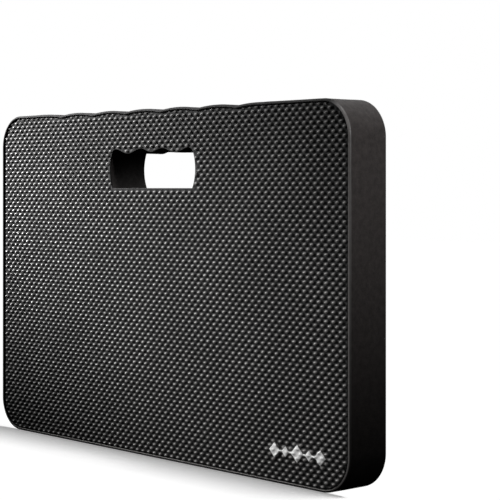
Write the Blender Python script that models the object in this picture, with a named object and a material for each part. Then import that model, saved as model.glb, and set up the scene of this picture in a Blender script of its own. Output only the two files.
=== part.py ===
"""A garden kneeling pad: a thick slab of closed-cell foam between two bonded skins.

The pad stands on one long edge. X is its width, Y its thickness with the grip face at -Y,
and Z is up. The origin is on the standing edge, at the middle of the width and thickness.
"""

import math

import bmesh
import bpy

# The whole pad
PAD_WIDTH = 0.450
PAD_HEIGHT = 0.285
PAD_THICKNESS = 0.038
CORNER_RADIUS = 0.028
CORNER_STEPS = 12

# The layers, from the grip face to the smooth face
FRONT_SKIN = 0.0020
REAR_SKIN = 0.0015
BOND_GAP = 0.0003
FRONT_EDGE_ROUND = 0.0012
REAR_EDGE_ROUND = 0.0008
ROUND_STEPS = 3

# The scalloped stretch of the upper edge: shallow convex lobes between small notches
LOBE_COUNT = 5
LOBE_PITCH = 0.0465
LOBE_DEPTH = 0.0018
LOBE_MIDDLE_X = -0.0150
LOBE_STEPS = 8

# The carry slot: bowed ends, a straight lower edge and three finger lobes above
SLOT_MIDDLE_X = -0.0040
SLOT_BOTTOM_Z = 0.2197
SLOT_TOP_Z = 0.2523
SLOT_HALF_WIDTH = 0.0522
SLOT_END_BOW = 0.0037
SLOT_END_STEPS = 8
SLOT_NOTCHES = (-0.0489, -0.0137, 0.0137, 0.0489)
SLOT_LOBE_DROPS = (0.0038, 0.0030, 0.0038)
SLOT_SHOULDER_DROP = 0.0015
SLOT_LOBE_STEPS = 10

# The emblem, a plain row of linked diamonds pressed flush into each face
MARK_MIDDLE_X = 0.1700
MARK_MIDDLE_Z = 0.0245
MARK_THICKNESS = 0.0004
MARK_CLEARANCE = 0.0003
DIAMOND_HALF_WIDTHS = (0.0058, 0.0040, 0.0066, 0.0040, 0.0058)
DIAMOND_LINK_LENGTH = 0.0020
DIAMOND_LINK_HALF = 0.0006

# Solids that cut run past the faces that they cut by this much
CUTTER_OVERRUN = 0.002

FRONT_Y = -PAD_THICKNESS / 2.0
REAR_Y = PAD_THICKNESS / 2.0
CORE_FRONT_Y = FRONT_Y + FRONT_SKIN + BOND_GAP
CORE_REAR_Y = REAR_Y - REAR_SKIN - BOND_GAP


def clear_scene():
    for obj in list(bpy.data.objects):
        bpy.data.objects.remove(obj, do_unlink=True)


def arc(centre_x, centre_z, radius, start, end, steps):
    """Points along an arc, both ends included."""
    points = []
    for step in range(steps + 1):
        angle = start + (end - start) * step / steps
        points.append((centre_x + radius * math.cos(angle), centre_z + radius * math.sin(angle)))
    return points


def lobe_dip(x):
    """How far the scalloped upper edge lies below the pad's top at a given x."""
    first_notch = LOBE_MIDDLE_X - LOBE_COUNT * LOBE_PITCH / 2.0
    along = (x - first_notch) / LOBE_PITCH
    if -0.5 < along < LOBE_COUNT + 0.5:
        from_notch = abs(along - round(along))
        return LOBE_DEPTH * (1.0 - 2.0 * from_notch) ** 2
    return 0.0


def scalloped_stretch():
    """The x values along the lobes, including the half lobe that runs out at each end."""
    first = LOBE_MIDDLE_X - (LOBE_COUNT + 1) * LOBE_PITCH / 2.0
    count = (LOBE_COUNT + 1) * LOBE_STEPS
    return [first + (LOBE_COUNT + 1) * LOBE_PITCH * step / count for step in range(count + 1)]


def pad_outline(inset):
    """The pad's outline in X and Z, counterclockwise, drawn in by inset."""
    radius = CORNER_RADIUS - inset
    right = PAD_WIDTH / 2.0 - CORNER_RADIUS
    top = PAD_HEIGHT - CORNER_RADIUS
    quarter = math.pi / 2.0
    points = arc(right, CORNER_RADIUS, radius, -quarter, 0.0, CORNER_STEPS)
    points += arc(right, top, radius, 0.0, quarter, CORNER_STEPS)
    points += [(x, PAD_HEIGHT - inset - lobe_dip(x)) for x in reversed(scalloped_stretch())]
    points += arc(-right, top, radius, quarter, 2.0 * quarter, CORNER_STEPS)
    points += arc(-right, CORNER_RADIUS, radius, 2.0 * quarter, 3.0 * quarter, CORNER_STEPS)
    return points


def slot_roof():
    """The slot's upper edge from right to left: a smooth wave that hangs between notches."""
    points = []
    lobes = list(zip(SLOT_NOTCHES[:-1], SLOT_NOTCHES[1:], SLOT_LOBE_DROPS))
    for left, right, drop in reversed(lobes):
        for step in range(SLOT_LOBE_STEPS):
            share = step / SLOT_LOBE_STEPS
            hang = drop * (1.0 - math.cos(2.0 * math.pi * share)) / 2.0
            points.append((right + (left - right) * share, SLOT_TOP_Z - hang))
    points.append((SLOT_NOTCHES[0], SLOT_TOP_Z))
    return points


def slot_end():
    """The slot's right end as offsets from its middle, from the floor up to the shoulder."""
    shoulder = SLOT_TOP_Z - SLOT_SHOULDER_DROP
    half_height = (shoulder - SLOT_BOTTOM_Z) / 2.0
    radius = (half_height**2 + SLOT_END_BOW**2) / (2.0 * SLOT_END_BOW)
    middle_x = SLOT_HALF_WIDTH + SLOT_END_BOW - radius
    reach = math.asin(half_height / radius)
    return arc(middle_x, SLOT_BOTTOM_Z + half_height, radius, -reach, reach, SLOT_END_STEPS)


def slot_outline():
    right_end = slot_end()
    left_end = [(-x, z) for x, z in reversed(right_end)]
    points = right_end + slot_roof() + left_end
    return [(SLOT_MIDDLE_X + x, z) for x, z in points]


def diamond_row(grow):
    """The emblem's outline round its own middle, counterclockwise, with its edge moved out by grow."""
    length = 2.0 * sum(DIAMOND_HALF_WIDTHS) + DIAMOND_LINK_LENGTH * (len(DIAMOND_HALF_WIDTHS) - 1)
    link = DIAMOND_LINK_HALF + grow
    start = -length / 2.0
    lower = []
    for half_width in DIAMOND_HALF_WIDTHS:
        middle = start + half_width
        reach = half_width + grow * math.sqrt(2.0)
        lower += [(middle - reach + link, -link), (middle, -reach), (middle + reach - link, -link)]
        start = middle + half_width + DIAMOND_LINK_LENGTH
    lower = lower[1:-1]
    tip = length / 2.0 + grow * math.sqrt(2.0)
    upper = [(x, -z) for x, z in reversed(lower)]
    return [(-tip, 0.0)] + lower + [(tip, 0.0)] + upper


def plate(name, outlines):
    """A closed solid lofted through (y, outline) pairs that all have the same point count."""
    mesh = bpy.data.meshes.new(name)
    build = bmesh.new()
    rings = []
    for y, outline in outlines:
        rings.append([build.verts.new((x, y, z)) for x, z in outline])
    count = len(rings[0])
    build.faces.new(rings[0])
    build.faces.new(list(reversed(rings[-1])))
    for near, far in zip(rings[:-1], rings[1:]):
        for index in range(count):
            after = (index + 1) % count
            build.faces.new((near[index], far[index], far[after], near[after]))
    bmesh.ops.recalc_face_normals(build, faces=build.faces)
    build.to_mesh(mesh)
    build.free()
    obj = bpy.data.objects.new(name, mesh)
    bpy.context.collection.objects.link(obj)
    return obj


def cutter(name, outline, low_y, high_y):
    obj = plate(name, [(low_y, outline), (high_y, outline)])
    obj.hide_render = True
    obj.display_type = "WIRE"
    return obj


def cut(obj, tool):
    step = obj.modifiers.new(tool.name, "BOOLEAN")
    step.operation = "DIFFERENCE"
    step.solver = "EXACT"
    step.object = tool


def give_material(obj, name, colour, roughness):
    material = bpy.data.materials.new(name)
    material.use_nodes = True
    shader = material.node_tree.nodes["Principled BSDF"]
    shader.inputs["Base Color"].default_value = (*colour, 1.0)
    shader.inputs["Roughness"].default_value = roughness
    shader.inputs["Metallic"].default_value = 0.0
    obj.data.materials.append(material)


def rounded_levels(face_y, inner_y, radius):
    """The outlines of a skin whose outer edge is rounded over towards its open face."""
    inward = 1.0 if inner_y > face_y else -1.0
    levels = []
    for step in range(ROUND_STEPS + 1):
        angle = math.pi / 2.0 * step / ROUND_STEPS
        depth = radius * (1.0 - math.sin(angle))
        inset = radius * (1.0 - math.cos(angle))
        levels.append((face_y + inward * depth, pad_outline(inset)))
    return [(inner_y, pad_outline(0.0))] + levels


def mark_place(outline, facing):
    """Moves the emblem to the lower right of a face, as seen by someone who looks at it."""
    return [(facing * (MARK_MIDDLE_X + x), MARK_MIDDLE_Z + z) for x, z in outline]


def make_foam_core(slot_tool):
    outline = pad_outline(0.0)
    core = plate("foam_core", [(CORE_FRONT_Y, outline), (CORE_REAR_Y, outline)])
    cut(core, slot_tool)
    give_material(core, "core_foam", (0.026, 0.024, 0.022), 0.9)


def make_front_skin(slot_tool):
    inner_y = FRONT_Y + FRONT_SKIN
    skin = plate("front_skin", rounded_levels(FRONT_Y, inner_y, FRONT_EDGE_ROUND))
    seat = cutter("front_mark_seat", mark_place(diamond_row(MARK_CLEARANCE), 1.0),
                  FRONT_Y - CUTTER_OVERRUN, FRONT_Y + MARK_THICKNESS + MARK_CLEARANCE)
    cut(skin, slot_tool)
    cut(skin, seat)
    give_material(skin, "grip_skin", (0.018, 0.017, 0.016), 0.45)


def make_rear_skin(slot_tool):
    inner_y = REAR_Y - REAR_SKIN
    skin = plate("rear_skin", rounded_levels(REAR_Y, inner_y, REAR_EDGE_ROUND))
    seat = cutter("rear_mark_seat", mark_place(diamond_row(MARK_CLEARANCE), -1.0),
                  REAR_Y - MARK_THICKNESS - MARK_CLEARANCE, REAR_Y + CUTTER_OVERRUN)
    cut(skin, slot_tool)
    cut(skin, seat)
    give_material(skin, "smooth_skin", (0.022, 0.021, 0.021), 0.65)


def make_front_mark():
    outline = mark_place(diamond_row(0.0), 1.0)
    mark = plate("front_mark", [(FRONT_Y, outline), (FRONT_Y + MARK_THICKNESS, outline)])
    give_material(mark, "mark_film", (0.62, 0.62, 0.61), 0.5)


def make_rear_mark():
    outline = mark_place(diamond_row(0.0), -1.0)
    mark = plate("rear_mark", [(REAR_Y - MARK_THICKNESS, outline), (REAR_Y, outline)])
    give_material(mark, "mark_film", (0.62, 0.62, 0.61), 0.5)


def main():
    clear_scene()
    slot_tool = cutter("slot_tool", slot_outline(), FRONT_Y - CUTTER_OVERRUN,
                       REAR_Y + CUTTER_OVERRUN)
    make_foam_core(slot_tool)
    make_front_skin(slot_tool)
    make_rear_skin(slot_tool)
    make_front_mark()
    make_rear_mark()


main()
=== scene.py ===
"""The kneeling pad's looks: foam layers, grip bumps, emblem film, studio floor, light, camera."""

import math

import bmesh
import bpy
import numpy as np
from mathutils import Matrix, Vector, geometry, noise


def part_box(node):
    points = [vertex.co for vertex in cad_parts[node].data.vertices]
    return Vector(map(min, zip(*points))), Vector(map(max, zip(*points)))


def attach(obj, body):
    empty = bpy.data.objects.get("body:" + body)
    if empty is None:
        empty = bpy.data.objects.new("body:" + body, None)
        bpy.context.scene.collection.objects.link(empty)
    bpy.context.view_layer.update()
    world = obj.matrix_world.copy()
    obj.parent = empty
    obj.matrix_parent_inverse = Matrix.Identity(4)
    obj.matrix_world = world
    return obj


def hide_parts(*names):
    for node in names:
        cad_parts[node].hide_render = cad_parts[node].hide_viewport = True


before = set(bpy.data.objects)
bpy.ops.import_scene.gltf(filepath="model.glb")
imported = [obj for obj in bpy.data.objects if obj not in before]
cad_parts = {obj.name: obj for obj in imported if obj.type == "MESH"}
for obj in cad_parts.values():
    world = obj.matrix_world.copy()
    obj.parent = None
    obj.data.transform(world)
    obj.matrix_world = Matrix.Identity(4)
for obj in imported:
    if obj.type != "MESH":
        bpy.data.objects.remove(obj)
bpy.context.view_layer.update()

# The pad as the CAD has it, in metres: X is the width, Y the thickness, Z is up
PAD_LOW, PAD_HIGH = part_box("front_skin")
PAD_WIDTH = PAD_HIGH.x - PAD_LOW.x
PAD_HEIGHT = PAD_HIGH.z - PAD_LOW.z
FRONT_Y = PAD_LOW.y
FRONT_BACK_Y = PAD_HIGH.y
REAR_BACK_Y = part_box("rear_skin")[0].y
REAR_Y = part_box("rear_skin")[1].y
CORNER_RADIUS = 0.028
LOBE_COUNT = 5
LOBE_PITCH = 0.0465
LOBE_DEPTH = 0.0018
LOBE_MIDDLE_X = -0.0150
SLOT_MIDDLE_X = -0.0040
SLOT_BOTTOM_Z = 0.2197
SLOT_TOP_Z = 0.2523
SLOT_HALF_WIDTH = 0.0522
SLOT_END_BOW = 0.0037
SLOT_NOTCHES = (-0.0489, -0.0137, 0.0137, 0.0489)
SLOT_LOBE_DROPS = (0.0038, 0.0030, 0.0038)
SLOT_SHOULDER_DROP = 0.0015
SLOT_END_STEPS = 24
SLOT_LOBE_STEPS = 24
MARK_MIDDLE_X = 0.1700
MARK_MIDDLE_Z = 0.0245
DIAMOND_HALF_WIDTHS = (0.0058, 0.0040, 0.0066, 0.0040, 0.0058)
DIAMOND_LINK_LENGTH = 0.0020
DIAMOND_LINK_HALF = 0.0006

# Edges: how far each is rounded, and the seam between a skin and the core
FRONT_EDGE_ROUND = 0.0017
REAR_EDGE_ROUND = 0.0008
SLOT_EDGE_ROUND = 0.0005
ROUND_STEPS = 4
SEAM = 0.0001

# The grip bumps, in staggered rows round a bump at the anchor. The row share is how far the troughs between
# rows reach down to the pits, the sharpness narrows the crests, and the crest share is the part of a bump's
# height over which the painted highlight on its crest fades into the painted shade of its pit
BUMP_PITCH = 0.00754
ROW_PITCH = 0.00343
BUMP_HEIGHT = 0.0018
BUMP_ANCHOR_X = 0.1059
BUMP_ANCHOR_Z = 0.1547
BUMP_ROW_SHARE = 0.50
BUMP_SHARPNESS = 1.35
CREST_SHARE = 0.75

# The plain border of the grip face: a raised rim, a groove inside it, and a lip round the slot
RIM_DEPTH = 0.0002
GROOVE_DEPTH = 0.0018
GROOVE_START = 0.0022
GROOVE_END = 0.0027
BUMPS_START = 0.0036
SLOT_LIP = 0.0014
SLOT_LIP_DEPTH = 0.0013

# The emblem: how flat and how deep the foam under it is pressed, and the film that lies on it
MARK_PRESS = 0.65
MARK_PRESS_DEPTH = 0.0005
MARK_PRESS_FADE = 0.0016
FILM_GAP = 0.00004
FILM_THICKNESS = 0.00018
FILM_BEVEL = 0.00012
FILM_STEP = 0.0005

# How finely the surfaces are meshed: the steps along outlines and across walls, the face grids with the
# margins that they keep to the edges, and the scale and tolerance of the flat triangulation
OUTLINE_STEP = 0.0016
SLOT_STEP = 0.0013
WALL_STEP = 0.0017
CELLS_PER_PITCH = 4
GRIP_GRID = (BUMP_PITCH / CELLS_PER_PITCH, ROW_PITCH / CELLS_PER_PITCH)
SMOOTH_GRID = (0.0030, 0.0030)
GRID_EDGE_MARGIN = 0.0030
GRID_SLOT_MARGIN = 0.0014
SHARP_ANGLE = math.radians(50.0)
MILLIMETRES = 1000.0
CDT_EPSILON = 1e-6

# Unevenness of the real foam: height, size and seed of each, and how far in from a face's outer edge it
# takes full hold
FACE_WAVES = (0.00008, 0.060, 3.0)
REAR_WAVES = (0.00030, 0.045, 11.0)
WALL_WAVES = (0.00022, 0.030, 5.0)
WALL_GRAIN = (0.00007, 0.0035, 7.0)
WAVES_FADE = 0.03

# The places of a skin's two materials on its mesh
FACE_MATERIAL = 0
RIM_MATERIAL = 1

# The painted highlight on a skin's rim at the pad's right end, where the rim is also glossier: the X between
# which it grows, the share of it left where the rim has turned into the wall, and how far behind the face
# that is on the grip skin
GLOSS_AND_PAINTED_HIGHLIGHT_START = 0.205
GLOSS_AND_PAINTED_HIGHLIGHT_END = 0.222
PAINTED_HIGHLIGHT_LEAST = 0.40
RIM_TURN = 0.0010

# The darkest and lightest shade of each material, and how rough the skins are. The pit colours are painted
# shade and the crest colours painted highlight
PIT_PAINTED_SHADES = ((0.0004, 0.0004, 0.0004, 1.0), (0.0010, 0.0010, 0.0010, 1.0))
CREST_PAINTED_HIGHLIGHTS = ((0.150, 0.143, 0.139, 1.0), (0.210, 0.200, 0.195, 1.0))
# The light colour of each rim is a painted highlight at the pad's right end
FRONT_RIM_DARK_AND_PAINTED_HIGHLIGHT = ((0.0040, 0.0038, 0.0036, 1.0), (0.200, 0.190, 0.186, 1.0))
REAR_RIM_DARK_AND_PAINTED_HIGHLIGHT = ((0.0180, 0.0170, 0.0165, 1.0), (0.062, 0.058, 0.057, 1.0))
CORE_SHADES = ((0.0190, 0.0162, 0.0156, 1.0), (0.0440, 0.0375, 0.0362, 1.0))
SMOOTH_SHADES = ((0.019, 0.018, 0.018, 1.0), (0.028, 0.027, 0.027, 1.0))
FILM_SHADES = ((0.35, 0.35, 0.346, 1.0), (0.43, 0.43, 0.426, 1.0))
FLOOR_SHADE = (0.92, 0.92, 0.92, 1.0)
WHITE = (1.0, 1.0, 1.0, 1.0)
PIT_ROUGHNESS = 0.85
CREST_ROUGHNESS = 0.34
RIM_ROUGHNESS = 0.92
FRONT_RIM_END_ROUGHNESS = 0.36
REAR_RIM_END_ROUGHNESS = 0.46

# The range that a noise node's output mostly keeps to
NOISE_LOW = 0.3
NOISE_HIGH = 0.7

# The studio, where each light reaches one group of pieces: the grip skin with its emblem, the rest of
# the pad, the whole pad or the floor. Suns are (name, direction they stand in, angle, strength, group),
# soft boxes (name, place, aim, size, watts, group), spots (name, place, aim, beam, radius, watts, group)
GRIP_PIECES = "grip_pieces"
BODY_PIECES = "body_pieces"
PAD_PIECES = "pad_pieces"
FLOOR_PIECES = "floor_pieces"
FLOOR_SIZE = 8.0
FLOOR_GLOW = 0.27
SUNS = (
    ("overhead", (0.0, 0.052, 1.0), math.radians(6.0), 5.2, GRIP_PIECES),
    ("floor_light", (0.15, 0.088, 1.0), math.radians(15.0), 2.7, FLOOR_PIECES),
)
SOFT_BOXES = (
    ("rear_fill", (-0.10, 1.20, 0.90), (0.0, 0.0, 0.14), 0.8, 14.0, BODY_PIECES),
    ("top_fill", (0.10, 0.0, 1.30), (0.0, 0.0, 0.28), 0.6, 5.0, BODY_PIECES),
    ("left_fill", (-1.10, 0.30, 0.60), (-0.22, 0.0, 0.16), 0.4, 3.0, BODY_PIECES),
)
SPOTS = (
    ("key", (-1.20, -0.40, 0.70), (-0.35, 0.0, 0.33), math.radians(28.0), 0.05, 390.0, GRIP_PIECES),
    ("front", (-0.50, -1.00, 0.45), (0.17, 0.0, 0.03), math.radians(24.0), 0.05, 35.0, GRIP_PIECES),
    ("low_left", (-0.45, -0.25, 0.15), (0.25, 0.0, 0.22), math.radians(60.0), 0.05, 5.0, GRIP_PIECES),
    ("side", (0.94, -0.04, 0.45), (0.225, 0.0, 0.45), math.radians(66.0), 0.05, 19.5, PAD_PIECES),
)
CAMERA_PLACE = (1.0106, -0.8137, 0.2213)
CAMERA_TURN = math.radians(48.29)
CAMERA_LENS = 113.27
CAMERA_SHIFT_Y = -0.1274


def lobe_dip(x):
    """How far the scalloped upper edge lies below the pad's top at x, a number or an array."""
    first_notch = LOBE_MIDDLE_X - LOBE_COUNT * LOBE_PITCH / 2.0
    along = (np.asarray(x) - first_notch) / LOBE_PITCH
    from_notch = np.abs(along - np.round(along))
    dip = LOBE_DEPTH * (1.0 - 2.0 * from_notch) ** 2
    return np.where((along > -0.5) & (along < LOBE_COUNT + 0.5), dip, 0.0)


def evenly(start, end, step):
    """Values from start to end, with the end left out, about a step apart."""
    count = max(2, int(round(abs(end - start) / step)))
    return start + (end - start) * np.arange(count) / count


def pad_outline(inset):
    """The pad's outline drawn in by inset: an array of (x, z), counterclockwise from below."""
    radius = CORNER_RADIUS - inset
    right = PAD_WIDTH / 2.0 - CORNER_RADIUS
    top = PAD_HEIGHT - CORNER_RADIUS
    quarter = math.pi / 2.0
    points = [(x, inset) for x in evenly(-right, right, OUTLINE_STEP)]
    for turn in range(4):
        middle_x = right if turn in (0, 1) else -right
        middle_z = top if turn in (1, 2) else CORNER_RADIUS
        start = (turn - 1) * quarter
        for angle in evenly(start, start + quarter, OUTLINE_STEP / CORNER_RADIUS):
            points.append((middle_x + radius * math.cos(angle), middle_z + radius * math.sin(angle)))
        if turn == 0:
            points += [(PAD_WIDTH / 2.0 - inset, z) for z in evenly(CORNER_RADIUS, top, OUTLINE_STEP)]
        if turn == 1:
            for x in evenly(right, -right, OUTLINE_STEP):
                points.append((x, PAD_HEIGHT - inset - lobe_dip(x)))
        if turn == 2:
            points += [(inset - PAD_WIDTH / 2.0, z) for z in evenly(top, CORNER_RADIUS, OUTLINE_STEP)]
    return np.array(points, float)


def slot_corners():
    """The slot's outline through its own shape points, counterclockwise from its lower right."""
    shoulder = SLOT_TOP_Z - SLOT_SHOULDER_DROP
    half_height = (shoulder - SLOT_BOTTOM_Z) / 2.0
    radius = (half_height**2 + SLOT_END_BOW**2) / (2.0 * SLOT_END_BOW)
    middle_x = SLOT_HALF_WIDTH + SLOT_END_BOW - radius
    reach = math.asin(half_height / radius)
    end = [(middle_x + radius * math.cos(angle), SLOT_BOTTOM_Z + half_height + radius * math.sin(angle))
           for angle in np.linspace(-reach, reach, SLOT_END_STEPS)]
    roof = []
    for left, right, drop in reversed(list(zip(SLOT_NOTCHES[:-1], SLOT_NOTCHES[1:], SLOT_LOBE_DROPS))):
        for share in np.arange(SLOT_LOBE_STEPS) / SLOT_LOBE_STEPS:
            hang = drop * (1.0 - math.cos(2.0 * math.pi * share)) / 2.0
            roof.append((right + (left - right) * share, SLOT_TOP_Z - hang))
    roof.append((SLOT_NOTCHES[0], SLOT_TOP_Z))
    return [(SLOT_MIDDLE_X + x, z) for x, z in end + roof + [(-x, z) for x, z in reversed(end)]]


def restep(points, step):
    """A closed line through the points with its points an even step apart."""
    closed = np.array(points + [points[0]], float)
    run = np.concatenate([[0.0], np.cumsum(np.linalg.norm(np.diff(closed, axis=0), axis=1))])
    along = np.linspace(0.0, run[-1], int(run[-1] / step), endpoint=False)
    return np.stack([np.interp(along, run, closed[:, 0]), np.interp(along, run, closed[:, 1])], axis=1)


def line_normals(line):
    """Unit normals of a closed counterclockwise line, pointing out of what it encloses."""
    ahead = np.roll(line, -1, axis=0) - np.roll(line, 1, axis=0)
    normals = np.stack([ahead[:, 1], -ahead[:, 0]], axis=1)
    return normals / np.linalg.norm(normals, axis=1, keepdims=True)


SLOT_LINE = restep(slot_corners(), SLOT_STEP)
SLOT_NORMALS = line_normals(SLOT_LINE)


def slot_outline(inset):
    """The slot's outline moved into the foam by inset."""
    return SLOT_LINE + SLOT_NORMALS * inset


def inside_line(x, z, line):
    """Whether each point lies inside a closed line, by counting the crossings to its right."""
    inside = np.zeros(np.shape(x), bool)
    for (ax, az), (bx, bz) in zip(line, np.roll(line, -1, axis=0)):
        crosses = (az > z) != (bz > z)
        if az != bz:
            inside ^= crosses & (x < ax + (z - az) * (bx - ax) / (bz - az))
    return inside


def distance_outside(x, z, line):
    """The distance from each point to a closed line, and none inside it."""
    nearest = np.full(np.shape(x), PAD_WIDTH)
    for px, pz in line:
        nearest = np.minimum(nearest, np.hypot(x - px, z - pz))
    return np.where(inside_line(x, z, line), 0.0, nearest)


def edge_room(x, z):
    """How far each point of a face lies inside the pad's outer edge."""
    across = PAD_WIDTH / 2.0 - np.abs(x)
    up = np.minimum(z, PAD_HEIGHT - lobe_dip(x) - z)
    corner = (across < CORNER_RADIUS) & (up < CORNER_RADIUS)
    round_off = CORNER_RADIUS - np.hypot(CORNER_RADIUS - across, CORNER_RADIUS - up)
    return np.where(corner, round_off, np.minimum(across, up))


def slot_room(x, z):
    """How far each point of a face lies from the slot."""
    return distance_outside(x, z, SLOT_LINE)


def smooth_step(low, high, value):
    """0 up to low, 1 from high on, and a smooth rise between them."""
    share = np.clip((value - low) / (high - low), 0.0, 1.0)
    return share * share * (3.0 - 2.0 * share)


def waves(points, height, size, seed):
    """Seeded unevenness at each 3-D point, the same in every run."""
    return height * np.array([noise.noise(Vector(point) / size + Vector((seed, 0, 0))) for point in points])


def face_waves(x, z, kind):
    """The unevenness of a face, which fades out at its outer edge."""
    flat = np.stack([np.ravel(x), np.zeros(np.size(x)), np.ravel(z)], axis=1)
    return waves(flat, *kind).reshape(np.shape(x)) * smooth_step(0.0, WAVES_FADE, edge_room(x, z))


def diamond_row():
    """The emblem's outline round its own middle, counterclockwise."""
    length = 2.0 * sum(DIAMOND_HALF_WIDTHS) + DIAMOND_LINK_LENGTH * (len(DIAMOND_HALF_WIDTHS) - 1)
    tip = length / 2.0
    link = DIAMOND_LINK_HALF
    start = -tip
    lower = []
    for reach in DIAMOND_HALF_WIDTHS:
        middle = start + reach
        lower += [(middle - reach + link, -link), (middle, -reach), (middle + reach - link, -link)]
        start = middle + reach + DIAMOND_LINK_LENGTH
    lower = lower[1:-1]
    upper = [(x, -z) for x, z in reversed(lower)]
    return [(-tip, 0.0)] + lower + [(tip, 0.0)] + upper


def mark_line(facing):
    """The emblem's outline at the lower right of a face, counterclockwise in x and z.

    Facing is 1 on the grip face and -1 on the smooth one, where the mirrored points run backwards.
    """
    points = [(facing * (MARK_MIDDLE_X + x), MARK_MIDDLE_Z + z) for x, z in diamond_row()]
    return restep(points[::int(facing)], FILM_STEP)


def bump_wave(x, z):
    """The embossing from 0 in a pit to 1 on a crest: an even lattice of bumps, mixed with separate rows."""
    across = np.cos(2.0 * math.pi * (x - BUMP_ANCHOR_X) / BUMP_PITCH)
    up = np.cos(math.pi * (z - BUMP_ANCHOR_Z) / ROW_PITCH)
    lattice = 0.5 + 0.5 * across * up
    rows = up**2 * (0.5 + 0.5 * np.sign(up) * across)
    return (lattice + (rows - lattice) * BUMP_ROW_SHARE) ** BUMP_SHARPNESS


def grip_depth(x, z):
    """How far each point of the grip face lies behind the plane of the bump tops."""
    room = edge_room(x, z)
    border = RIM_DEPTH + (GROOVE_DEPTH - RIM_DEPTH) * smooth_step(FRONT_EDGE_ROUND, GROOVE_START, room)
    bumps = BUMP_HEIGHT * (1.0 - bump_wave(x, z))
    depth = border + (bumps - border) * smooth_step(GROOVE_END, BUMPS_START, room)
    past_lip = smooth_step(SLOT_EDGE_ROUND, SLOT_LIP, slot_room(x, z))
    depth = SLOT_LIP_DEPTH + (depth - SLOT_LIP_DEPTH) * past_lip
    away = smooth_step(0.0, MARK_PRESS_FADE, distance_outside(x, z, mark_line(1.0)))
    press = MARK_PRESS * (1.0 - away)
    return depth + (MARK_PRESS_DEPTH - depth) * press + face_waves(x, z, FACE_WAVES)


def smooth_depth(x, z):
    """How far each point of the smooth face lies behind its plane."""
    return face_waves(x, z, REAR_WAVES)


class Shell:
    """Collects the points and faces of one closed piece."""

    def __init__(self):
        self.points = np.zeros((0, 3))
        self.faces = []
        self.materials = []

    def add(self, x, y, z):
        """Adds points and returns their numbers."""
        first = len(self.points)
        new = np.stack([np.ravel(part) for part in np.broadcast_arrays(x, y, z)], axis=1)
        self.points = np.concatenate([self.points, new])
        return np.arange(first, len(self.points))

    def join(self, faces, material=FACE_MATERIAL):
        """Adds faces, given as rows of point numbers."""
        self.faces += faces.tolist()
        self.materials += [material] * len(faces)

    def band(self, near, far, material=FACE_MATERIAL):
        """Joins two closed rings of points with quads."""
        corners = (near, np.roll(near, -1), np.roll(far, -1), far)
        self.join(np.stack(corners, axis=1), material)

    def fill(self, rings, keep, edges=(), extra=()):
        """Fills the space between closed rings with triangles, through any open edges and extra points."""
        pairs = np.concatenate([np.stack([ring, np.roll(ring, -1)], axis=1) for ring in rings] + list(edges))
        numbers = np.unique(np.concatenate([np.ravel(pairs), np.asarray(extra, int)]))
        flat = [Vector((x, z)) for x, _, z in self.points[numbers] * MILLIMETRES]
        links = np.searchsorted(numbers, pairs).tolist()
        found, _, triangles, sources, _, _ = geometry.delaunay_2d_cdt(flat, links, [], 0, CDT_EPSILON)
        triangles = np.array(triangles)
        middles = np.array([tuple(point) for point in found])[triangles].mean(axis=1) / MILLIMETRES
        kept = triangles[keep(middles[:, 0], middles[:, 1])]
        self.join(numbers[np.array([source[0] for source in sources])[kept]])

    def build(self, name):
        """Makes an object of the faces, with no loose points and its normals pointing outwards."""
        mesh = bpy.data.meshes.new(name)
        mesh.from_pydata(self.points.tolist(), [], self.faces)
        mesh.polygons.foreach_set("material_index", self.materials)
        work = bmesh.new()
        work.from_mesh(mesh)
        bmesh.ops.delete(work, geom=[vert for vert in work.verts if not vert.link_faces], context="VERTS")
        bmesh.ops.recalc_face_normals(work, faces=work.faces)
        work.to_mesh(mesh)
        work.free()
        mesh.shade_smooth()
        mesh.set_sharp_from_angle(angle=SHARP_ANGLE)
        obj = bpy.data.objects.new(name, mesh)
        bpy.context.collection.objects.link(obj)
        return obj


def between(outer, inner):
    """A test for points inside the outer line and outside the inner one."""
    def keep(x, z):
        return inside_line(x, z, outer) & ~inside_line(x, z, inner)
    return keep


def face_grid(shell, grid, surface):
    """Quads over a face, on a grid through the bump anchor: its open edges, and a test for its cells."""
    first = [anchor + size * math.ceil((low - anchor) / size)
             for anchor, low, size in zip((BUMP_ANCHOR_X, BUMP_ANCHOR_Z), (-PAD_WIDTH / 2.0, 0.0), grid)]
    xs = np.arange(first[0], PAD_WIDTH / 2.0, grid[0])
    zs = np.arange(first[1], PAD_HEIGHT, grid[1])
    x, z = np.meshgrid(xs, zs, indexing="ij")
    inside = (edge_room(x, z) > GRID_EDGE_MARGIN) & (slot_room(x, z) > GRID_SLOT_MARGIN)
    cells = inside[:-1, :-1] & inside[1:, :-1] & inside[1:, 1:] & inside[:-1, 1:]
    numbers = shell.add(x, surface(x, z), z).reshape(x.shape)
    corners = (numbers[:-1, :-1], numbers[1:, :-1], numbers[1:, 1:], numbers[:-1, 1:])
    quads = np.stack([corner[cells] for corner in corners], axis=1)
    shell.join(quads)
    sides = np.concatenate([quads[:, [side, (side + 1) % 4]] for side in range(4)])
    _, place, count = np.unique(np.sort(sides, axis=1), axis=0, return_index=True, return_counts=True)

    def in_cell(px, pz):
        """Whether each point lies in a cell that has a quad."""
        column = np.clip(((px - first[0]) / grid[0]).astype(int), 0, cells.shape[0] - 1)
        row = np.clip(((pz - first[1]) / grid[1]).astype(int), 0, cells.shape[1] - 1)
        return cells[column, row]

    return sides[place[count == 1]], in_cell


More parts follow.
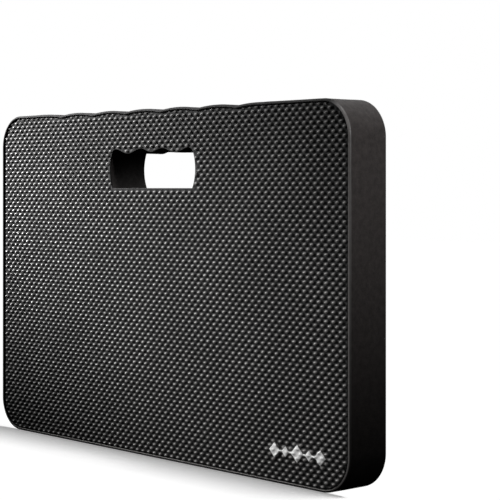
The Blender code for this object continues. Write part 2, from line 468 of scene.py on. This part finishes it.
def rounded_rim(shell, outline, radius, borders, surface, inward, back_y):
    """The rim of a face along an outline: border, rounded edge and wall. Returns its first and last rings."""
    rings = []
    for inset in borders + (radius,):
        line = outline(inset)
        top_y = surface(line[:, 0], line[:, 1])
        rings.append(shell.add(line[:, 0], top_y, line[:, 1]))
    for step in range(1, ROUND_STEPS + 1):
        angle = math.pi / 2.0 * step / ROUND_STEPS
        line = outline(radius * (1.0 - math.sin(angle)))
        rings.append(shell.add(line[:, 0], top_y + inward * radius * (1.0 - math.cos(angle)), line[:, 1]))
    rings.append(shell.add(line[:, 0], back_y, line[:, 1]))
    for number, (near, far) in enumerate(zip(rings[:-1], rings[1:])):
        shell.band(near, far, RIM_MATERIAL if number >= len(borders) else FACE_MATERIAL)
    return rings[0], rings[-1]


def skin(name, face_y, back_y, radius, borders, grid, depth):
    """A bonded skin: its face, the rounded edges outside and at the slot, and a flat back."""
    shell = Shell()
    inward = math.copysign(1.0, back_y - face_y)

    def surface(x, z):
        return face_y + inward * depth(x, z)

    open_edges, in_cell = face_grid(shell, grid, surface)
    outer = rounded_rim(shell, pad_outline, radius, borders, surface, inward, back_y)
    inner = rounded_rim(shell, slot_outline, SLOT_EDGE_ROUND, (), surface, inward, back_y)
    innermost = (borders + (radius,))[0]
    face = between(pad_outline(innermost), slot_outline(SLOT_EDGE_ROUND))
    shell.fill([outer[0], inner[0]], lambda x, z: face(x, z) & ~in_cell(x, z), [open_edges])
    shell.fill([outer[1], inner[1]], between(pad_outline(0.0), slot_outline(0.0)))
    return shell.build(name)


def core(name):
    """The foam core: an uneven cut wall outside and in the slot, between two hidden flat faces."""
    shell = Shell()
    low_y = FRONT_BACK_Y + SEAM
    high_y = REAR_BACK_Y - SEAM
    levels = np.linspace(low_y, high_y, int((high_y - low_y) / WALL_STEP))
    ends = []
    for outline in (pad_outline, slot_outline):
        line = outline(0.0)
        normals = line_normals(line)
        rings = []
        for y in levels:
            wall = np.stack([line[:, 0], np.full(len(line), y), line[:, 1]], axis=1)
            swell = (waves(wall, *WALL_WAVES) + waves(wall, *WALL_GRAIN))[:, None]
            moved = line + normals * swell
            rings.append(shell.add(moved[:, 0], y, moved[:, 1]))
        for near, far in zip(rings[:-1], rings[1:]):
            shell.band(near, far)
        ends.append((rings[0], rings[-1]))
    for outer, inner in zip(*ends):
        lines = [shell.points[ring][:, [0, 2]] for ring in (outer, inner)]
        shell.fill([outer, inner], between(*lines))
    return shell.build(name)


def film(name, facing, face_y, depth):
    """A heat-pressed film: it follows the foam under it and is bevelled all round.

    Facing is 1 on the grip face and -1 on the smooth one, and Y times facing grows into the foam.
    """
    shell = Shell()
    line = mark_line(facing)
    normals = line_normals(line)
    x, z = np.meshgrid(*[np.arange(low, high, FILM_STEP) for low, high in zip(line.min(0), line.max(0))])
    inner = inside_line(x, z, line - normals * FILM_STEP)
    top = -FILM_GAP - FILM_THICKNESS
    levels = ((0.0, -FILM_GAP), (0.0, top + FILM_BEVEL), (FILM_BEVEL, top))
    rings = []
    for inset, drop in levels:
        ring_x, ring_z = (line - normals * inset).T
        rings.append(shell.add(ring_x, face_y + facing * (depth(ring_x, ring_z) + drop), ring_z))
    for near, far in zip(rings[:-1], rings[1:]):
        shell.band(near, far)
    for ring, drop in ((rings[0], -FILM_GAP), (rings[-1], top)):
        extra = shell.add(x[inner], face_y + facing * (depth(x[inner], z[inner]) + drop), z[inner])
        outline = shell.points[ring][:, [0, 2]]
        shell.fill([ring], lambda px, pz: inside_line(px, pz, outline), extra=extra)
    return shell.build(name)


class Surface:
    """A procedural material on one Principled shader, placed by the piece's own metres."""

    def __init__(self, name):
        self.material = bpy.data.materials.new(name)
        self.material.use_nodes = True
        self.tree = self.material.node_tree
        self.shader = self.tree.nodes["Principled BSDF"]
        self.place = self.tree.nodes.new("ShaderNodeTexCoord").outputs["Object"]
        self.normal = None

    def feed(self, socket, value):
        """Sets a socket to a number or colour, or links it to another node's output."""
        if isinstance(value, bpy.types.NodeSocket):
            self.tree.links.new(value, socket)
        else:
            socket.default_value = value

    def noise(self, size, detail=3.0, roughness=0.55, stretch=(1.0, 1.0, 1.0)):
        """Noise from about 0 to 1, with features of about the given size in metres."""
        mapping = self.tree.nodes.new("ShaderNodeMapping")
        mapping.inputs["Scale"].default_value = stretch
        self.feed(mapping.inputs["Vector"], self.place)
        node = self.tree.nodes.new("ShaderNodeTexNoise")
        self.feed(node.inputs["Vector"], mapping.outputs["Vector"])
        node.inputs["Scale"].default_value = 1.0 / size
        node.inputs["Detail"].default_value = detail
        node.inputs["Roughness"].default_value = roughness
        return node.outputs["Fac"]

    def cells(self, size):
        """Distance to the middle of the nearest foam cell, for cells of the given size in metres."""
        node = self.tree.nodes.new("ShaderNodeTexVoronoi")
        self.feed(node.inputs["Vector"], self.place)
        node.inputs["Scale"].default_value = 1.0 / size
        return node.outputs["Distance"]

    def spread(self, value, low, high, start, end):
        """Maps value from low..high to start..end, and holds it there."""
        node = self.tree.nodes.new("ShaderNodeMapRange")
        self.feed(node.inputs["Value"], value)
        node.inputs["From Min"].default_value = low
        node.inputs["From Max"].default_value = high
        node.inputs["To Min"].default_value = start
        node.inputs["To Max"].default_value = end
        return node.outputs["Result"]

    def vary(self, noise_output, start, end):
        """Maps a noise's usual range to start..end."""
        return self.spread(noise_output, NOISE_LOW, NOISE_HIGH, start, end)

    def along(self, axis):
        """The piece's own X, Y or Z coordinate."""
        node = self.tree.nodes.new("ShaderNodeSeparateXYZ")
        self.feed(node.inputs["Vector"], self.place)
        return node.outputs[axis]

    def combine(self, operation, first, second):
        """One math operation on two numbers."""
        node = self.tree.nodes.new("ShaderNodeMath")
        node.operation = operation
        self.feed(node.inputs[0], first)
        self.feed(node.inputs[1], second)
        return node.outputs["Value"]

    def blend(self, share, first, second):
        """A colour between two others, by share."""
        node = self.tree.nodes.new("ShaderNodeMix")
        node.data_type = "RGBA"
        self.feed(node.inputs[0], share)
        self.feed(node.inputs[6], first)
        self.feed(node.inputs[7], second)
        return node.outputs[2]

    def bump(self, height, strength, distance):
        """Adds a layer of fine relief, distance metres deep at full strength."""
        node = self.tree.nodes.new("ShaderNodeBump")
        node.inputs["Strength"].default_value = strength
        node.inputs["Distance"].default_value = distance
        self.feed(node.inputs["Height"], height)
        if self.normal is not None:
            self.feed(node.inputs["Normal"], self.normal)
        self.normal = node.outputs["Normal"]
        self.feed(self.shader.inputs["Normal"], self.normal)

    def set(self, **values):
        """Feeds the shader's sockets, each named with underscores for its spaces."""
        for name, value in values.items():
            self.feed(self.shader.inputs[name.replace("_", " ")], value)


def grip_material():
    """Embossed foam skin: grey crests of painted highlight with a faint gloss, dull black pits of painted
    shade, and a fine pebbled grain.
    """
    look = Surface("grip_skin_foam")
    crest = look.spread(look.along("Y"), FRONT_Y + BUMP_HEIGHT * CREST_SHARE, FRONT_Y, 0.0, 1.0)
    mottle = look.noise(size=0.012, detail=4.0)
    patch = look.noise(size=0.0022)
    # The near-black pits are painted shade and the grey crests painted highlight
    pit = look.blend(patch, *PIT_PAINTED_SHADES)
    top = look.blend(mottle, *CREST_PAINTED_HIGHLIGHTS)
    look.set(Base_Color=look.blend(crest, pit, top))
    uneven = look.vary(look.noise(size=0.004), -0.04, 0.05)
    rough = look.spread(crest, 0.0, 1.0, PIT_ROUGHNESS, CREST_ROUGHNESS)
    look.set(Roughness=look.combine("ADD", rough, uneven))
    look.shader.inputs["Specular IOR Level"].default_value = 0.1
    look.bump(look.noise(size=0.0006, roughness=0.6), strength=0.35, distance=0.00006)
    look.bump(look.cells(size=0.0009), strength=0.15, distance=0.00005)
    return look.material


def core_material():
    """The cut foam: matte, mottled, with fine open cells and drag lines from the die."""
    look = Surface("cut_foam")
    mottle = look.noise(size=0.0050, detail=5.0, roughness=0.65)
    fine = look.noise(size=0.0010, detail=2.0)
    share = look.combine("ADD", look.vary(mottle, 0.0, 0.75), look.vary(fine, 0.0, 0.25))
    look.set(Base_Color=look.blend(share, *CORE_SHADES))
    look.set(Roughness=look.vary(look.noise(size=0.003), 0.82, 0.95))
    look.shader.inputs["Specular IOR Level"].default_value = 0.35
    look.bump(look.cells(size=0.0011), strength=0.5, distance=0.00012)
    look.bump(look.noise(size=0.0007, roughness=0.7), strength=0.5, distance=0.00010)
    drag = look.noise(size=0.010, detail=2.0, roughness=0.5, stretch=(1.0, 0.08, 1.0))
    look.bump(drag, strength=0.25, distance=0.00020)
    return look.material


def smooth_material():
    """The smooth skin: a satin foam film with faint clouding and a leathery grain."""
    look = Surface("smooth_skin_foam")
    cloud = look.noise(size=0.030, detail=4.0)
    fine = look.noise(size=0.0025)
    share = look.combine("ADD", look.vary(cloud, 0.0, 0.6), look.vary(fine, 0.0, 0.4))
    look.set(Base_Color=look.blend(share, *SMOOTH_SHADES))
    look.set(Roughness=look.vary(look.noise(size=0.006, detail=4.0), 0.50, 0.62))
    look.bump(look.noise(size=0.0009, roughness=0.6), strength=0.30, distance=0.00006)
    look.bump(look.noise(size=0.0060, detail=2.0), strength=0.25, distance=0.00015)
    return look.material


def film_material():
    """The emblem's light-grey film: slightly dusty, with a fine stipple from the press."""
    look = Surface("emblem_film")
    cloud = look.noise(size=0.004, detail=4.0)
    look.set(Base_Color=look.blend(cloud, *FILM_SHADES))
    look.set(Roughness=look.vary(look.noise(size=0.0015), 0.42, 0.58))
    look.bump(look.noise(size=0.0005, detail=2.0), strength=0.30, distance=0.00004)
    return look.material


def rim_material(name, face_y, turned_y, dark_and_painted_highlight, end_roughness):
    """The rounded edge of a skin: dull, but glossier at the pad's right end, where it is painted lighter as a
    painted highlight.
    """
    look = Surface(name)
    # The lighter colour towards the right end is a painted highlight, which fades where the rim turns into
    # the wall
    at_end = look.spread(look.along("X"), GLOSS_AND_PAINTED_HIGHLIGHT_START, GLOSS_AND_PAINTED_HIGHLIGHT_END, 0.0, 1.0)
    turned = look.spread(look.along("Y"), face_y, turned_y, 1.0, PAINTED_HIGHLIGHT_LEAST)
    painted_highlight = look.combine("MULTIPLY", at_end, turned)
    mottle = look.vary(look.noise(size=0.0050, detail=4.0), 0.8, 1.0)
    look.set(Base_Color=look.blend(look.combine("MULTIPLY", painted_highlight, mottle), *dark_and_painted_highlight))
    uneven = look.vary(look.noise(size=0.0030), -0.05, 0.05)
    rough = look.spread(at_end, 0.0, 1.0, RIM_ROUGHNESS, end_roughness)
    look.set(Roughness=look.combine("ADD", rough, uneven))
    look.shader.inputs["Specular IOR Level"].default_value = 0.2
    look.bump(look.noise(size=0.0008, roughness=0.6), strength=0.25, distance=0.00005)
    return look.material


def dress(piece, node, slot_name, *materials):
    """Puts a piece in place of its CAD node, with its materials."""
    for material in materials:
        piece.data.materials.append(material)
    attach(piece, "root")
    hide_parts(node)


def gather(name, pieces):
    """A collection of pieces, for the lights that reach only them."""
    collection = bpy.data.collections.new(name)
    for piece in pieces:
        collection.objects.link(piece)


def make_floor():
    """A plain white studio floor, which the pad doesn't mirror and which throws no light back on it."""
    bpy.ops.mesh.primitive_plane_add(size=FLOOR_SIZE, location=(0.0, 0.0, 0.0))
    floor = bpy.context.object
    floor.name = "studio_floor"
    look = Surface("studio_floor")
    look.set(Base_Color=FLOOR_SHADE, Roughness=0.9)
    look.set(Emission_Color=WHITE, Emission_Strength=FLOOR_GLOW)
    floor.data.materials.append(look.material)
    floor.visible_diffuse = False
    floor.visible_glossy = False
    gather(FLOOR_PIECES, [floor])


def make_backdrop():
    """A white world that only the camera sees, so that the pad's pits stay black."""
    world = bpy.data.worlds.new("studio")
    world.use_nodes = True
    background = world.node_tree.nodes["Background"]
    background.inputs["Color"].default_value = WHITE
    background.inputs["Strength"].default_value = 1.0
    world.cycles_visibility.diffuse = False
    world.cycles_visibility.glossy = False
    world.cycles_visibility.transmission = False
    world.cycles_visibility.scatter = False
    bpy.context.scene.world = world


def place_light(name, data, location, aim, lit):
    """Puts a light in the scene, facing a point, unseen by the camera and reaching only some pieces."""
    light = bpy.data.objects.new(name, data)
    light.location = location
    light.rotation_euler = (Vector(aim) - Vector(location)).to_track_quat("-Z", "Y").to_euler()
    light.visible_camera = False
    light.light_linking.receiver_collection = bpy.data.collections[lit]
    bpy.context.collection.objects.link(light)
    return light


def sun(name, direction, angle, strength, lit):
    """Parallel light that comes down from the given direction, and that only the grip pieces block."""
    data = bpy.data.lights.new(name, "SUN")
    data.energy = strength
    data.angle = angle
    light = place_light(name, data, direction, (0.0, 0.0, 0.0), lit)
    light.light_linking.blocker_collection = bpy.data.collections[GRIP_PIECES]


def soft_box(name, location, aim, size, watts, lit):
    """A square area light."""
    data = bpy.data.lights.new(name, "AREA")
    data.shape = "SQUARE"
    data.size = size
    data.energy = watts
    place_light(name, data, location, aim, lit)


def spot(name, location, aim, beam, radius, watts, lit):
    """A spotlight that fades from the middle of its beam to the edge."""
    data = bpy.data.lights.new(name, "SPOT")
    data.energy = watts
    data.shadow_soft_size = radius
    data.spot_size = beam
    data.spot_blend = 1.0
    place_light(name, data, location, aim, lit)


def make_camera():
    """A level camera, whose view is shifted down so that the pad's upright edges stay upright."""
    data = bpy.data.cameras.new("camera")
    data.lens = CAMERA_LENS
    data.shift_y = CAMERA_SHIFT_Y
    camera = bpy.data.objects.new("camera", data)
    camera.location = CAMERA_PLACE
    camera.rotation_euler = (math.pi / 2.0, 0.0, CAMERA_TURN)
    bpy.context.collection.objects.link(camera)
    bpy.context.scene.camera = camera


def make_foam():
    """The two skins and the foam core between them, each in place of its CAD solid."""
    front = skin("front_skin_bumps", FRONT_Y, FRONT_BACK_Y, FRONT_EDGE_ROUND, (GROOVE_END, GROOVE_START),
                 GRIP_GRID, grip_depth)
    rear = skin("rear_skin_smooth", REAR_Y, REAR_BACK_Y, REAR_EDGE_ROUND, (), SMOOTH_GRID, smooth_depth)
    middle = core("foam_core_cut")
    front_rim = rim_material("grip_skin_rim", FRONT_Y + RIM_DEPTH, FRONT_Y + RIM_TURN, FRONT_RIM_DARK_AND_PAINTED_HIGHLIGHT,
                             FRONT_RIM_END_ROUGHNESS)
    rear_rim = rim_material("smooth_skin_rim", REAR_Y, REAR_Y - REAR_EDGE_ROUND, REAR_RIM_DARK_AND_PAINTED_HIGHLIGHT,
                            REAR_RIM_END_ROUGHNESS)
    dress(front, "front_skin", "grip_skin", grip_material(), front_rim)
    dress(rear, "rear_skin", "smooth_skin", smooth_material(), rear_rim)
    dress(middle, "foam_core", "core_foam", core_material())
    return front, rear, middle


def make_emblems():
    """The film emblem on each face."""
    material = film_material()
    front = film("front_emblem", 1.0, FRONT_Y, grip_depth)
    rear = film("rear_emblem", -1.0, REAR_Y, smooth_depth)
    dress(front, "front_mark", "mark_film", material)
    dress(rear, "rear_mark", "mark_film", material)
    return front, rear


def make_lights():
    for settings in SUNS:
        sun(*settings)
    for settings in SOFT_BOXES:
        soft_box(*settings)
    for settings in SPOTS:
        spot(*settings)


def main():
    front, rear, middle = make_foam()
    front_emblem, rear_emblem = make_emblems()
    gather(PAD_PIECES, [front, rear, middle, front_emblem, rear_emblem])
    gather(GRIP_PIECES, [front, front_emblem])
    gather(BODY_PIECES, [middle, rear, rear_emblem])
    make_floor()
    make_backdrop()
    make_lights()
    make_camera()
    bpy.context.scene.view_settings.view_transform = "Standard"


main()
